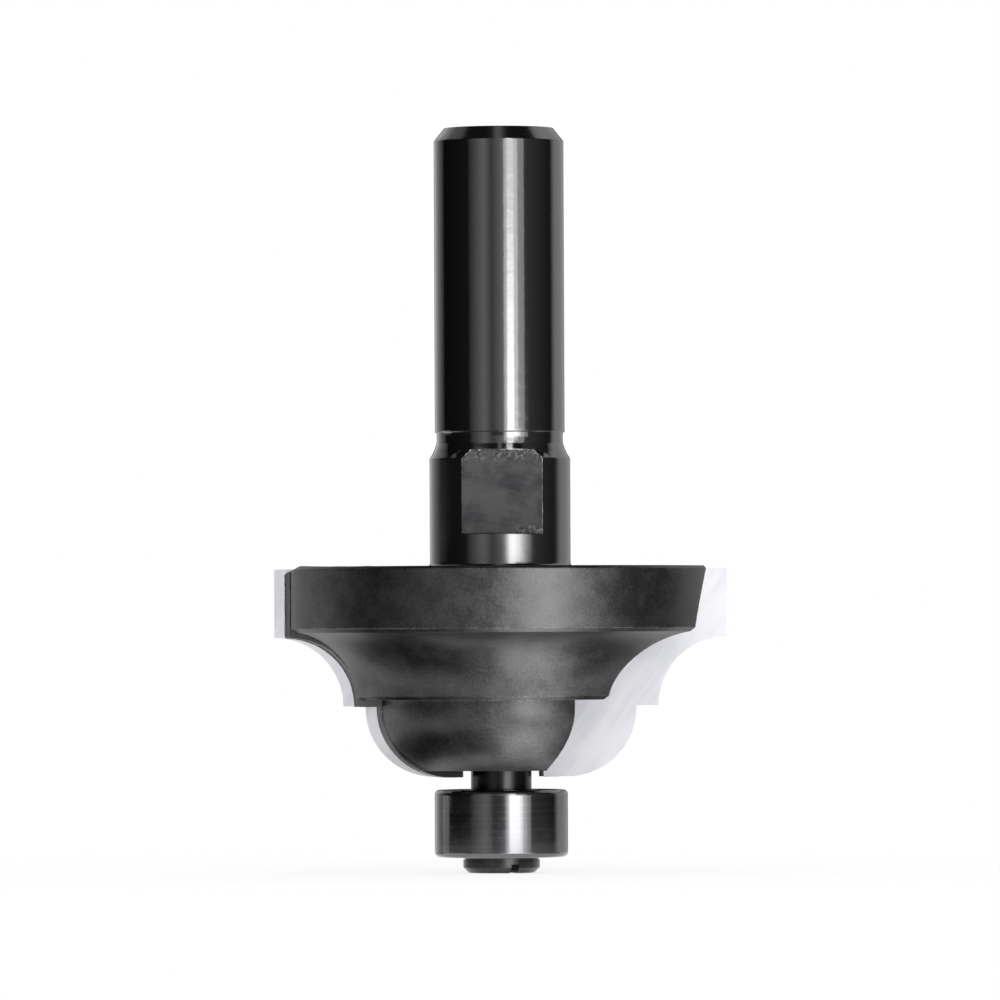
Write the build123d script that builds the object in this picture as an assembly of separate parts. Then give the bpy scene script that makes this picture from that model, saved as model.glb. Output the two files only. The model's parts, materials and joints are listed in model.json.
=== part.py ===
from build123d import *

import math
import os

# Bearing-guided profile router bit: a turned and milled steel body, two brazed carbide tips that cut
# a bead, a step, a cove and a straight, and a shielded ball bearing that follows the work, clamped on
# the nose by a slotted screw.
#
# Frame: millimetres. The axis of the bit is Z. z = 0 is the flat face of the screw head, on which the
# bit stands, and +Z runs up to the end of the shank. The first tip lies in +X, its rake face is in the
# plane y = 0 and looks along -Y, and the second is the same half a turn round. Seen from the shank,
# the bit cuts turning clockwise. Outlines are drawn in the XZ plane, so a sketch point is (radius, z).

# ---------------------------------------------------------------- driving sizes, millimetres, degrees

# Shank, relief groove and spanner collar
SHANK_DIAMETER = 12.0
SHANK_LENGTH = 28.1
SHANK_END_CHAMFER = 1.2
SHANK_END_CHAMFER_DEPTH = 0.95
CENTRE_HOLE_DIAMETER = 3.0
CENTRE_PILOT_DIAMETER = 1.2
CENTRE_PILOT_DEPTH = 1.6
CENTRE_HOLE_ANGLE = 60.0
GROOVE_DEPTH = 0.15
GROOVE_WIDTH = 1.05
GROOVE_HOLLOW = 0.03
FLARE_HEIGHT = 1.4
FLARE_HOLLOW = 0.06
COLLAR_DIAMETER = 13.0
COLLAR_LENGTH = 9.95
COLLAR_FOOT_FILLET = 0.35
ACROSS_FLATS = 10.7
FLAT_LENGTH = 7.7
FLAT_ABOVE_HEAD = 3.0
FLAT_TURN = 2.2

# Cutting profile, from the guide bearing outwards and from the tip's lower end upwards
BEAD_RADIUS = 6.35
STEP_WIDTH = 2.05
STEP_RISE = 0.19
COVE_RADIUS = 6.35
STRAIGHT_LENGTH = 6.3

# Carbide tips and the steel that backs them
TIP_COUNT = 2
TIP_THICKNESS = 3.0
TIP_RELIEF_ANGLE = 20.0
TIP_OVERHANG = 0.62
TIP_TOP_SETBACK = 0.2
BACKING_WIDTH = 1.2
BACKING_INNER_RADIUS = 3.5
HEEL_CUT_WIDTH = 1.3
HEEL_CUT_ANGLE = 27.4

# Turned head behind the tips: how far it stands back from the cutting profile
HEAD_SETBACK = 1.15
HEAD_BEAD_SHIFT = 0.8
HEAD_COVE_SETBACK = 0.58
HEAD_COVE_SHIFT = 0.25
HEAD_STEP_SETBACK = 0.6
HEAD_EDGE_BREAK = 0.35
HEAD_TOP_CHAMFER = 0.25

# Chip gullets
ROOT_LEDGE = 1.13
ROOT_ANGLE = 8.0
GULLET_WIDTH_BOTTOM = 8.6
GULLET_WIDTH_MIDDLE = 9.6
GULLET_WIDTH_TOP = 5.6
GULLET_MIDDLE = 6.0
GULLET_FILLET = 2.5

# Neck, guide bearing and retaining screw
NECK_DIAMETER = 5.6
NECK_LENGTH = 1.83
BEARING_DIAMETER = 12.3
BEARING_BORE = 4.76
BEARING_WIDTH = 6.2
RING_CORNER = 0.45
BORE_CHAMFER = 0.2
BALL_DIAMETER = 2.381
BALL_COUNT = 7
RACEWAY_CLEARANCE = 0.03
LAND_GAP = 1.5
CAGE_WIDTH = 1.1
CAGE_THICKNESS = 0.2
CAGE_CLEARANCE = 0.06
SHIELD_THICKNESS = 0.2
SHIELD_SEAT_DEPTH = 0.7
SHIELD_SEAT_STEP = 0.3
SHIELD_GAP = 0.12
SNAP_RING_THICKNESS = 0.25
SNAP_RING_WIDTH = 0.45
SNAP_RING_GROOVE = 0.15
SNAP_RING_OPENING = 34.0
JOURNAL_SETBACK = 0.2
JOURNAL_CHAMFER = 0.2
WASHER_THICKNESS = 0.25
WASHER_SETBACK = 0.1
SCREW_HEAD_DIAMETER = 7.1
SCREW_HEAD_HEIGHT = 1.2
SCREW_HEAD_CHAMFER = 0.5
SCREW_DIAMETER = 3.0
SCREW_LENGTH = 8.0
SCREW_POINT_CHAMFER = 0.3
SCREW_CLEARANCE = 0.1
SLOT_WIDTH = 0.75
SLOT_DEPTH = 0.8
SLOT_TURN = 21.0
TAPPED_HOLE_SPARE = 0.8
DRILL_POINT_ANGLE = 118.0

CUT_MARGIN = 1.0  # how far a cutting solid runs past what it cuts
SAME_PLACE = 1e-6  # two sketch points closer than this are one

# ------------------------------------------------------------------------------------ derived places

SHANK_RADIUS = SHANK_DIAMETER / 2
COLLAR_RADIUS = COLLAR_DIAMETER / 2
NECK_RADIUS = NECK_DIAMETER / 2
BEARING_RADIUS = BEARING_DIAMETER / 2
BORE_RADIUS = BEARING_BORE / 2
BALL_RADIUS = BALL_DIAMETER / 2
SCREW_RADIUS = SCREW_DIAMETER / 2

# heights, from the screw head up
WASHER_BOTTOM = SCREW_HEAD_HEIGHT
BEARING_BOTTOM = WASHER_BOTTOM + WASHER_THICKNESS
BEARING_MIDDLE = BEARING_BOTTOM + BEARING_WIDTH / 2
BEARING_TOP = BEARING_BOTTOM + BEARING_WIDTH
HEAD_BOTTOM = BEARING_TOP + NECK_LENGTH
TIP_BOTTOM = HEAD_BOTTOM - TIP_OVERHANG
BEAD_CENTRE_Z = TIP_BOTTOM + BEAD_RADIUS
STEP_Z = BEAD_CENTRE_Z + STEP_RISE
TIP_TOP = STEP_Z + COVE_RADIUS + STRAIGHT_LENGTH
HEAD_TOP = TIP_TOP + TIP_TOP_SETBACK
COLLAR_TOP = HEAD_TOP + COLLAR_LENGTH
GROOVE_BOTTOM = COLLAR_TOP + FLARE_HEIGHT
SHANK_BOTTOM = GROOVE_BOTTOM + GROOVE_WIDTH
SHANK_TOP = SHANK_BOTTOM + SHANK_LENGTH

# radii of the cutting profile: the bead starts level with the guide bearing
BEAD_CENTRE_R = BEARING_RADIUS
BEAD_OUTER_R = BEAD_CENTRE_R + BEAD_RADIUS
COVE_INNER_R = BEAD_OUTER_R + STEP_WIDTH
CUTTING_RADIUS = COVE_INNER_R + COVE_RADIUS
HEAD_RADIUS = CUTTING_RADIUS - HEAD_SETBACK

# guide bearing: balls midway between bore and outside, and the two rings' plain lands beside them
PITCH_RADIUS = (BEARING_RADIUS + BORE_RADIUS) / 2
INNER_LAND_RADIUS = PITCH_RADIUS - LAND_GAP / 2
OUTER_LAND_RADIUS = PITCH_RADIUS + LAND_GAP / 2
SHIELD_RADIUS = OUTER_LAND_RADIUS + SHIELD_SEAT_STEP
SNAP_RING_RADIUS = SHIELD_RADIUS + SNAP_RING_GROOVE

# the gullet's root wall starts just outside the neck and leans outwards as it rises
ROOT_RADIUS = NECK_RADIUS + ROOT_LEDGE


def root_at(z):
    """Return the distance from the axis of the gullet's leaning root wall at a height."""
    return ROOT_RADIUS + (z - HEAD_BOTTOM) * math.tan(math.radians(ROOT_ANGLE))


def circle_point(centre, radius, degrees):
    """Return the point of a circle at an angle measured from the sketch's X axis."""
    turn = math.radians(degrees)
    return (centre[0] + radius * math.cos(turn), centre[1] + radius * math.sin(turn))


def arc_between(centre, radius, start_degrees, end_degrees):
    """Return an arc of a circle from one angle to another."""
    middle = (start_degrees + end_degrees) / 2
    return ThreePointArc(
        circle_point(centre, radius, start_degrees),
        circle_point(centre, radius, middle),
        circle_point(centre, radius, end_degrees),
    )


def outline_face(*pieces):
    """Return the face in the XZ plane that a closed chain of points, lines and arcs encloses.

    A plain point is joined by a straight line to the end of what comes before it, and an arc is
    joined in the same way where it doesn't start there.
    """
    edges = []
    first = None
    last = None
    for piece in pieces:
        start = Vector(*piece) if isinstance(piece, tuple) else piece @ 0
        if first is None:
            first = start
        elif (start - last).length > SAME_PLACE:
            edges.append(Line(last, start))
        if isinstance(piece, tuple):
            last = start
        else:
            edges.append(piece)
            last = piece @ 1
    if (first - last).length > SAME_PLACE:
        edges.append(Line(last, first))
    return Plane.XZ * make_face(edges)


def turned(*pieces):
    """Return the solid of revolution of an outline about the bit's axis."""
    return revolve(outline_face(*pieces), Axis.Z, 360)


def tube(inner_radius, outer_radius, bottom, top):
    """Return a plain ring about the bit's axis."""
    return turned((inner_radius, bottom), (outer_radius, bottom), (outer_radius, top), (inner_radius, top))


def each_flute(shape):
    """Return the shape and its copies, spaced evenly about the axis for the other flutes."""
    return [shape.rotate(Axis.Z, number * 360 / TIP_COUNT) for number in range(TIP_COUNT)]


# ------------------------------------------------------------------------------------ head and tips


def root_side(top):
    """Return the side view of all that lies outside the gullet's root wall."""
    return outline_face(
        (ROOT_RADIUS, TIP_BOTTOM - CUT_MARGIN),
        (CUTTING_RADIUS + CUT_MARGIN, TIP_BOTTOM - CUT_MARGIN),
        (CUTTING_RADIUS + CUT_MARGIN, top + CUT_MARGIN),
        (root_at(top + CUT_MARGIN), top + CUT_MARGIN),
        (ROOT_RADIUS, HEAD_BOTTOM),
    )


def backing_side():
    """Return the side view of the steel behind a tip, which reaches further in than the tip does."""
    return outline_face(
        (BACKING_INNER_RADIUS, TIP_BOTTOM),
        (CUTTING_RADIUS, TIP_BOTTOM),
        (CUTTING_RADIUS, HEAD_TOP),
        (BACKING_INNER_RADIUS, HEAD_TOP),
    )


def cutting_wedge(top, thickness, side):
    """Return the solid that a tip and the steel behind it share, within a side view.

    The cutting profile stands in the plane y = 0 and is pushed back along +Y, leaning towards the
    axis by the relief angle, so that only the front edge touches the work. The side view gives the
    inner end, which stays square.
    """
    face = outline_face(
        (0, TIP_BOTTOM),
        arc_between((BEAD_CENTRE_R, BEAD_CENTRE_Z), BEAD_RADIUS, -90, 0),
        (BEAD_OUTER_R, STEP_Z),
        arc_between((CUTTING_RADIUS, STEP_Z), COVE_RADIUS, 180, 90),
        (CUTTING_RADIUS, top),
        (0, top),
    )
    lean = thickness * math.tan(math.radians(TIP_RELIEF_ANGLE))
    wedge = Solid.extrude(face.face(), Vector(-lean, thickness, 0))
    return wedge & Solid.extrude(side.face(), Vector(0, thickness, 0))


def heel_corner():
    """Return what is ground off the top corner of the steel behind a tip, sloping down outwards."""
    reach = HEEL_CUT_WIDTH + HEAD_SETBACK + CUT_MARGIN
    inner = HEAD_RADIUS - HEEL_CUT_WIDTH
    corner = outline_face(
        (inner, HEAD_TOP),
        (inner + reach, HEAD_TOP - reach * math.tan(math.radians(HEEL_CUT_ANGLE))),
        (inner + reach, HEAD_TOP + CUT_MARGIN),
        (inner, HEAD_TOP + CUT_MARGIN),
    )
    return Solid.extrude(corner.face(), Vector(0, HEAD_RADIUS, 0))


def gullet():
    """Return the chip space in front of a tip, as the solid that is milled away.

    One wall is the plane of the rake face. The front wall is a long hollow sweep that is widest at
    mid height, the root wall leans outwards towards the shank, and a cutter radius joins the two.
    """
    reach = CUTTING_RADIUS + CUT_MARGIN
    side = outline_face((root_at(HEAD_BOTTOM), HEAD_BOTTOM), (reach, HEAD_BOTTOM), (reach, HEAD_TOP),
                        (root_at(HEAD_TOP), HEAD_TOP))
    widest = max(GULLET_WIDTH_BOTTOM, GULLET_WIDTH_MIDDLE, GULLET_WIDTH_TOP)
    leaning = Solid.extrude(side.face(), Vector(0, -widest - CUT_MARGIN, 0))
    sweep = ThreePointArc(
        (-GULLET_WIDTH_BOTTOM, HEAD_BOTTOM),
        (-GULLET_WIDTH_MIDDLE, HEAD_BOTTOM + GULLET_MIDDLE),
        (-GULLET_WIDTH_TOP, HEAD_TOP),
    )
    end = Plane.YZ * make_face([
        sweep,
        Line((-GULLET_WIDTH_TOP, HEAD_TOP), (0, HEAD_TOP)),
        Line((0, HEAD_TOP), (0, HEAD_BOTTOM)),
        Line((0, HEAD_BOTTOM), (-GULLET_WIDTH_BOTTOM, HEAD_BOTTOM)),
    ])
    space = leaning & Solid.extrude(end.face(), Vector(reach, 0, 0))
    return fillet(space.edges().filter_by(GeomType.ELLIPSE), GULLET_FILLET)


def head_blank():
    """Return the steel body as it leaves the lathe: nose, neck, head, collar and shank."""
    journal_end = BEARING_BOTTOM + JOURNAL_SETBACK
    bead_centre = (BEAD_CENTRE_R - HEAD_BEAD_SHIFT, BEAD_CENTRE_Z)
    bead_start = -math.degrees(math.asin((BEAD_CENTRE_Z - HEAD_BOTTOM) / BEAD_RADIUS))
    step_z = STEP_Z + HEAD_STEP_SETBACK
    cove_radius = COVE_RADIUS + HEAD_COVE_SETBACK
    cove_centre = (CUTTING_RADIUS - HEAD_COVE_SHIFT, STEP_Z)
    cove_rise = HEAD_STEP_SETBACK + HEAD_EDGE_BREAK
    cove_start = 180 - math.degrees(math.asin(cove_rise / cove_radius))
    cove_reach = cove_centre[0] - HEAD_RADIUS + HEAD_EDGE_BREAK
    cove_end = 180 - math.degrees(math.acos(cove_reach / cove_radius))
    cove_foot = circle_point(cove_centre, cove_radius, cove_start)
    cove_head = circle_point(cove_centre, cove_radius, cove_end)
    groove_radius = SHANK_RADIUS - GROOVE_DEPTH
    return turned(
        (0, journal_end),
        (BORE_RADIUS - JOURNAL_CHAMFER, journal_end),
        (BORE_RADIUS, journal_end + JOURNAL_CHAMFER),
        (BORE_RADIUS, BEARING_TOP),
        (NECK_RADIUS, BEARING_TOP),
        (NECK_RADIUS, HEAD_BOTTOM),
        arc_between(bead_centre, BEAD_RADIUS, bead_start, 0),
        (bead_centre[0] + BEAD_RADIUS, step_z),
        (cove_foot[0] - HEAD_EDGE_BREAK, step_z),
        arc_between(cove_centre, cove_radius, cove_start, cove_end),
        (HEAD_RADIUS, cove_head[1] + HEAD_EDGE_BREAK),
        (HEAD_RADIUS, HEAD_TOP - HEAD_TOP_CHAMFER),
        (HEAD_RADIUS - HEAD_TOP_CHAMFER, HEAD_TOP),
        arc_between((COLLAR_RADIUS + COLLAR_FOOT_FILLET, HEAD_TOP + COLLAR_FOOT_FILLET),
                    COLLAR_FOOT_FILLET, 270, 180),
        (COLLAR_RADIUS, COLLAR_TOP),
        SagittaArc((COLLAR_RADIUS, COLLAR_TOP), (groove_radius, GROOVE_BOTTOM), FLARE_HOLLOW),
        SagittaArc((groove_radius, GROOVE_BOTTOM), (groove_radius, SHANK_BOTTOM), GROOVE_HOLLOW),
        (SHANK_RADIUS, SHANK_BOTTOM),
        (SHANK_RADIUS, SHANK_TOP - SHANK_END_CHAMFER),
        (SHANK_RADIUS - SHANK_END_CHAMFER_DEPTH, SHANK_TOP),
        (0, SHANK_TOP),
    )


def tapped_hole():
    """Return the space of the drilled and tapped hole in the nose, with its drill point."""
    top = WASHER_BOTTOM + SCREW_LENGTH + TAPPED_HOLE_SPARE
    point = SCREW_RADIUS / math.tan(math.radians(DRILL_POINT_ANGLE / 2))
    return turned((0, 0), (SCREW_RADIUS, 0), (SCREW_RADIUS, top), (0, top + point))


def centre_hole():
    """Return the space of the centre drilled in the shank's end, on which the shank was ground."""
    rim = CENTRE_HOLE_DIAMETER / 2
    pilot = CENTRE_PILOT_DIAMETER / 2
    cone_depth = (rim - pilot) / math.tan(math.radians(CENTRE_HOLE_ANGLE / 2))
    bottom = SHANK_TOP - cone_depth - CENTRE_PILOT_DEPTH
    return turned((0, bottom), (pilot, bottom), (pilot, SHANK_TOP - cone_depth), (rim, SHANK_TOP),
                  (0, SHANK_TOP))


def spanner_flats():
    """Return the two blocks that the milling of the spanner flats takes off the collar."""
    reach = COLLAR_RADIUS + CUT_MARGIN
    depth = reach - ACROSS_FLATS / 2
    bottom = HEAD_TOP + FLAT_ABOVE_HEAD
    middle = Pos(0, -(ACROSS_FLATS + depth) / 2, bottom + FLAT_LENGTH / 2)
    front = (middle * Box(2 * reach, depth, FLAT_LENGTH)).rotate(Axis.Z, FLAT_TURN)
    return [front, front.rotate(Axis.Z, 180)]


def cutter_body():
    """Return the one-piece steel body, with its seats, gullets, flats and holes."""
    body = head_blank()
    for backing in each_flute(cutting_wedge(HEAD_TOP, TIP_THICKNESS + BACKING_WIDTH, backing_side())):
        body += backing
    seat_top = HEAD_TOP + CUT_MARGIN
    for seat in each_flute(cutting_wedge(seat_top, TIP_THICKNESS, root_side(seat_top))):
        body -= seat
    for space in each_flute(gullet()) + each_flute(heel_corner()) + spanner_flats():
        body -= space
    return body - tapped_hole() - centre_hole()


def carbide_tips():
    """Return the brazed tips, the one in +X first."""
    return each_flute(cutting_wedge(TIP_TOP, TIP_THICKNESS, root_side(TIP_TOP)))


# ---------------------------------------------------------------------------------------- bearing


def raceway():
    """Return the ring of space that the balls run in, shared by both bearing rings."""
    section = Pos(PITCH_RADIUS, BEARING_MIDDLE) * Circle(BALL_RADIUS + RACEWAY_CLEARANCE)
    return revolve(Plane.XZ * section, Axis.Z, 360)


def bearing_outer_ring():
    """Return the hardened ring that rolls on the work, with the seats of its shields."""
    corner_r = BEARING_RADIUS - RING_CORNER
    ring = turned(
        (OUTER_LAND_RADIUS, BEARING_BOTTOM),
        arc_between((corner_r, BEARING_BOTTOM + RING_CORNER), RING_CORNER, -90, 0),
        arc_between((corner_r, BEARING_TOP - RING_CORNER), RING_CORNER, 0, 90),
        (OUTER_LAND_RADIUS, BEARING_TOP),
    )
    ring -= raceway()
    for low in (BEARING_BOTTOM, BEARING_TOP - SHIELD_SEAT_DEPTH):
        ring -= tube(0, SHIELD_RADIUS, low, low + SHIELD_SEAT_DEPTH)
    for low in snap_ring_bottoms():
        ring -= tube(0, SNAP_RING_RADIUS, low, low + SNAP_RING_THICKNESS)
    return ring


def bearing_inner_ring():
    """Return the ring that is clamped on the nose between the neck and the washer."""
    ring = turned(
        (BORE_RADIUS + BORE_CHAMFER, BEARING_BOTTOM),
        (INNER_LAND_RADIUS, BEARING_BOTTOM),
        (INNER_LAND_RADIUS, BEARING_TOP),
        (BORE_RADIUS + BORE_CHAMFER, BEARING_TOP),
        (BORE_RADIUS, BEARING_TOP - BORE_CHAMFER),
        (BORE_RADIUS, BEARING_BOTTOM + BORE_CHAMFER),
    )
    return ring - raceway()


def ball_centres():
    """Return the middle of each ball, counting round from +X."""
    middles = []
    for number in range(BALL_COUNT):
        turn = math.radians(number * 360 / BALL_COUNT)
        middles.append(Vector(PITCH_RADIUS * math.cos(turn), PITCH_RADIUS * math.sin(turn), BEARING_MIDDLE))
    return middles


def cage_half(side):
    """Return one pressed half of the ribbon cage, above (+1) or below (-1) the balls' middle.

    Flat strips meet those of the other half between the balls, and half round pockets go over them.
    """
    inner = PITCH_RADIUS - CAGE_WIDTH / 2
    outer = PITCH_RADIUS + CAGE_WIDTH / 2
    pocket_radius = BALL_RADIUS + CAGE_CLEARANCE
    shell_radius = pocket_radius + CAGE_THICKNESS
    strip_ends = sorted((BEARING_MIDDLE, BEARING_MIDDLE + side * CAGE_THICKNESS))
    reach_ends = sorted((BEARING_MIDDLE, BEARING_MIDDLE + side * (shell_radius + CUT_MARGIN)))
    band = tube(inner, outer, *reach_ends)
    half = tube(inner, outer, *strip_ends)
    for middle in ball_centres():
        half += band & Pos(middle) * Sphere(shell_radius)
    for middle in ball_centres():
        half -= Pos(middle) * Sphere(pocket_radius)
    return half


def shield_bottoms():
    """Return the lowest height of the lower and of the upper shield."""
    return (BEARING_BOTTOM + SHIELD_SEAT_DEPTH - SHIELD_THICKNESS, BEARING_TOP - SHIELD_SEAT_DEPTH)


def snap_ring_bottoms():
    """Return the lowest height of the lower and of the upper snap ring, each outside its shield."""
    lower, upper = shield_bottoms()
    return (lower - SNAP_RING_THICKNESS, upper + SHIELD_THICKNESS)


def shield(bottom):
    """Return a thin steel disc that covers the balls and clears the inner ring."""
    return tube(INNER_LAND_RADIUS + SHIELD_GAP, SHIELD_RADIUS, bottom, bottom + SHIELD_THICKNESS)


def snap_ring(bottom):
    """Return the open spring ring that holds a shield in its seat."""
    ring = tube(SNAP_RING_RADIUS - SNAP_RING_WIDTH, SNAP_RING_RADIUS, bottom, bottom + SNAP_RING_THICKNESS)
    half_opening = math.radians(SNAP_RING_OPENING / 2)
    reach = SNAP_RING_RADIUS + CUT_MARGIN
    side = reach * math.tan(half_opening)
    notch = Pos(0, 0, bottom) * extrude(Polygon((0, 0), (reach, side), (reach, -side), align=None),
                                        SNAP_RING_THICKNESS)
    return ring - notch


# ------------------------------------------------------------------------------------------ screw


def screw_washer():
    """Return the thin washer that passes the screw's clamping force to the inner ring alone."""
    return tube(SCREW_RADIUS + SCREW_CLEARANCE, INNER_LAND_RADIUS - WASHER_SETBACK, WASHER_BOTTOM,
                BEARING_BOTTOM)


def retaining_screw():
    """Return the low-headed slotted screw, head down, its shank up in the nose."""
    head_radius = SCREW_HEAD_DIAMETER / 2
    point = WASHER_BOTTOM + SCREW_LENGTH
    screw = turned(
        (0, 0),
        (head_radius - SCREW_HEAD_CHAMFER, 0),
        (head_radius, SCREW_HEAD_CHAMFER),
        (head_radius, SCREW_HEAD_HEIGHT),
        (SCREW_RADIUS, SCREW_HEAD_HEIGHT),
        (SCREW_RADIUS, point - SCREW_POINT_CHAMFER),
        (SCREW_RADIUS - SCREW_POINT_CHAMFER, point),
        (0, point),
    )
    slot = Pos(0, 0, SLOT_DEPTH / 2) * Box(SLOT_WIDTH, SCREW_HEAD_DIAMETER + CUT_MARGIN, SLOT_DEPTH)
    return screw - slot.rotate(Axis.Z, SLOT_TURN)


# ---------------------------------------------------------------------------------------- assembly


def all_nodes():
    """Return every piece of the bit by name, each where it sits when the bit is assembled."""
    lower_shield, upper_shield = shield_bottoms()
    lower_snap, upper_snap = snap_ring_bottoms()
    nodes = {
        "cutter_body": cutter_body(),
        "bearing_inner_ring": bearing_inner_ring(),
        "bearing_outer_ring": bearing_outer_ring(),
        "bearing_cage_lower": cage_half(-1),
        "bearing_cage_upper": cage_half(1),
        "shield_lower": shield(lower_shield),
        "shield_upper": shield(upper_shield),
        "shield_snap_ring_lower": snap_ring(lower_snap),
        "shield_snap_ring_upper": snap_ring(upper_snap),
        "screw_washer": screw_washer(),
        "retaining_screw": retaining_screw(),
    }
    for number, tip in enumerate(carbide_tips(), start=1):
        nodes[f"carbide_tip_{number}"] = tip
    for number, middle in enumerate(ball_centres(), start=1):
        nodes[f"ball_{number}"] = Pos(middle) * Sphere(BALL_RADIUS)
    return nodes


os.makedirs("parts", exist_ok=True)
for name, piece in all_nodes().items():
    export_step(piece, f"parts/{name}.step")
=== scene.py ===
import json
import logging
import math
from dataclasses import dataclass
from enum import Enum
from typing import Any, Callable, Optional

import bmesh
import bpy
from mathutils import Matrix, Vector, noise


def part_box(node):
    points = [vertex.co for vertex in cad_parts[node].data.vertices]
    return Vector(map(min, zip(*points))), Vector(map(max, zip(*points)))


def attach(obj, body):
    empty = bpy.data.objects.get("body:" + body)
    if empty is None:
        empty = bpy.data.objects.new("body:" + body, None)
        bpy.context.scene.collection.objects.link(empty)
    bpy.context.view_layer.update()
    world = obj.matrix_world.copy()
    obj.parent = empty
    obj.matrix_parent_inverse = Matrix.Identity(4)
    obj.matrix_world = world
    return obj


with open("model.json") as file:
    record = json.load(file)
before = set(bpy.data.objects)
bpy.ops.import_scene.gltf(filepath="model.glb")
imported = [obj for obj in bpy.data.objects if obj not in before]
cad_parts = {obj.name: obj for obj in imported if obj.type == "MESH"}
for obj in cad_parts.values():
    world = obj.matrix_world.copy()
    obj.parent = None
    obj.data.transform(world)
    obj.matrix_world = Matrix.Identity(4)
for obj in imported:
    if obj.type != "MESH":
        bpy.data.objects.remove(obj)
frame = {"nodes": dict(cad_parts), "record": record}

LOG = logging.getLogger("router_bit")

MM = 0.001
CUTTER = "cutter"

Socket = bpy.types.NodeSocket
Tree = bpy.types.NodeTree
EdgeTest = Callable[[bmesh.types.BMEdge], bool]


def linear(hex_colour: str) -> tuple[float, float, float, float]:
    """Turn an sRGB hex colour into the linear colour that the shaders take.

    Args:
        hex_colour: Six hex digits after a hash sign, such as "#5a5a5c".

    Returns:
        Linear red, green, blue and an alpha of 1.
    """
    digits = hex_colour.lstrip("#")
    shares = [int(digits[start:start + 2], 16) / 255 for start in (0, 2, 4)]
    bent = [share / 12.92 if share <= 0.04045 else ((share + 0.055) / 1.055) ** 2.4 for share in shares]
    return (bent[0], bent[1], bent[2], 1.0)


def add_node(tree: Tree, kind: str, values: Optional[dict] = None, links: Optional[dict] = None,
             **settings: Any) -> bpy.types.Node:
    """Add a shader node with its settings, fixed inputs and incoming links.

    Args:
        tree: The node tree that the node goes into.
        kind: The node's type name.
        values: Input name or number to the value set on it.
        links: Input name or number to the output that feeds it.
        settings: The node's own properties.

    Returns:
        The new node.
    """
    node = tree.nodes.new(kind)
    for name, value in settings.items():
        setattr(node, name, value)
    for key, value in (values or {}).items():
        node.inputs[key].default_value = value
    for key, source in (links or {}).items():
        tree.links.new(source, node.inputs[key])
    return node


def bare_tree(owner: Any) -> Tree:
    """Switch a material or world to nodes and empty its tree.

    Args:
        owner: The material or world.

    Returns:
        Its empty node tree.
    """
    owner.use_nodes = True
    owner.node_tree.nodes.clear()
    return owner.node_tree


def put_up(name: str, data: Any) -> bpy.types.Object:
    """Make an object of a mesh, lamp or camera and put it in the scene.

    Args:
        name: The object's name.
        data: What it shows.

    Returns:
        The object.
    """
    piece = bpy.data.objects.new(name, data)
    bpy.context.scene.collection.objects.link(piece)
    return piece


# ------------------------------------------------------------------------------------------ places


@dataclass(frozen=True)
class BitSizes:
    """Where the bit's zones lie, in millimetres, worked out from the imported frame.

    Attributes:
        head_bottom: Height of the head's lower face.
        head_top: Height of the head's upper face.
        collar_top: Height of the wrench collar's upper edge.
        shank_top: Height of the shank's end.
        flat_distance: Distance of the spanner flats from the axis.
        flat_turn: Angle of the front flat's outward direction from the front, radians.
        flat_bottom: Height of the flats' lower edge.
        seat_depth: Distance of the tips' seats from the plane through the axis.
        flat_height: Height of a flat.
    """

    head_bottom: float
    head_top: float
    collar_top: float
    shank_top: float
    flat_distance: float
    flat_turn: float
    flat_bottom: float
    seat_depth: float
    flat_height: float = 7.7

    @classmethod
    def from_frame(cls) -> "BitSizes":
        """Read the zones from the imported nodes' boxes and the record's mounts.

        Returns:
            The zones.
        """
        neck_height, tip_top_setback, collar_height, flat_rise = 1.83, 0.2, 9.95, 3.0
        tip_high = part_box("carbide_tip_1")[1]
        mounts = {mount["name"]: mount for mount in frame["record"]["mounts"]}
        flat = Vector(mounts["spanner_flat_front"]["pos_m"]) / MM
        head_top = tip_high.z / MM + tip_top_setback
        return cls(
            head_bottom=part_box("bearing_outer_ring")[1].z / MM + neck_height,
            head_top=head_top,
            collar_top=head_top + collar_height,
            shank_top=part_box("cutter_body")[1].z / MM,
            flat_distance=math.hypot(flat.x, flat.y),
            flat_turn=math.atan2(flat.x, -flat.y),
            flat_bottom=head_top + flat_rise,
            seat_depth=tip_high.y / MM,
        )

    @property
    def flat_direction(self) -> Vector:
        """Give the outward direction of the front flat."""
        return Vector((math.sin(self.flat_turn), -math.cos(self.flat_turn), 0.0))

    @property
    def flat_side(self) -> Vector:
        """Give the direction that runs level across the front flat, to the right."""
        return Vector((math.cos(self.flat_turn), math.sin(self.flat_turn), 0.0))


# ---------------------------------------------------------------------------------------- finishes


class Lay(Enum):
    """Which way the marks of a cutting or grinding tool run over a surface."""

    AROUND = "rings round the bit's axis"
    SLANTED = "straight slanting lines on an upright face"
    SWEPT = "wide arcs across an upright face"
    FACED = "rings on a turned end face"


# The carbide's grinding scratches rise to the right at 54 degrees, seen from the front.
SLANT = math.radians(-54)
# The end mill that swept the flats turned round a point below them and left of the axis, mm.
MILL_CENTRE = Vector((-4.0, 0.0, 18.0))


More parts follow.
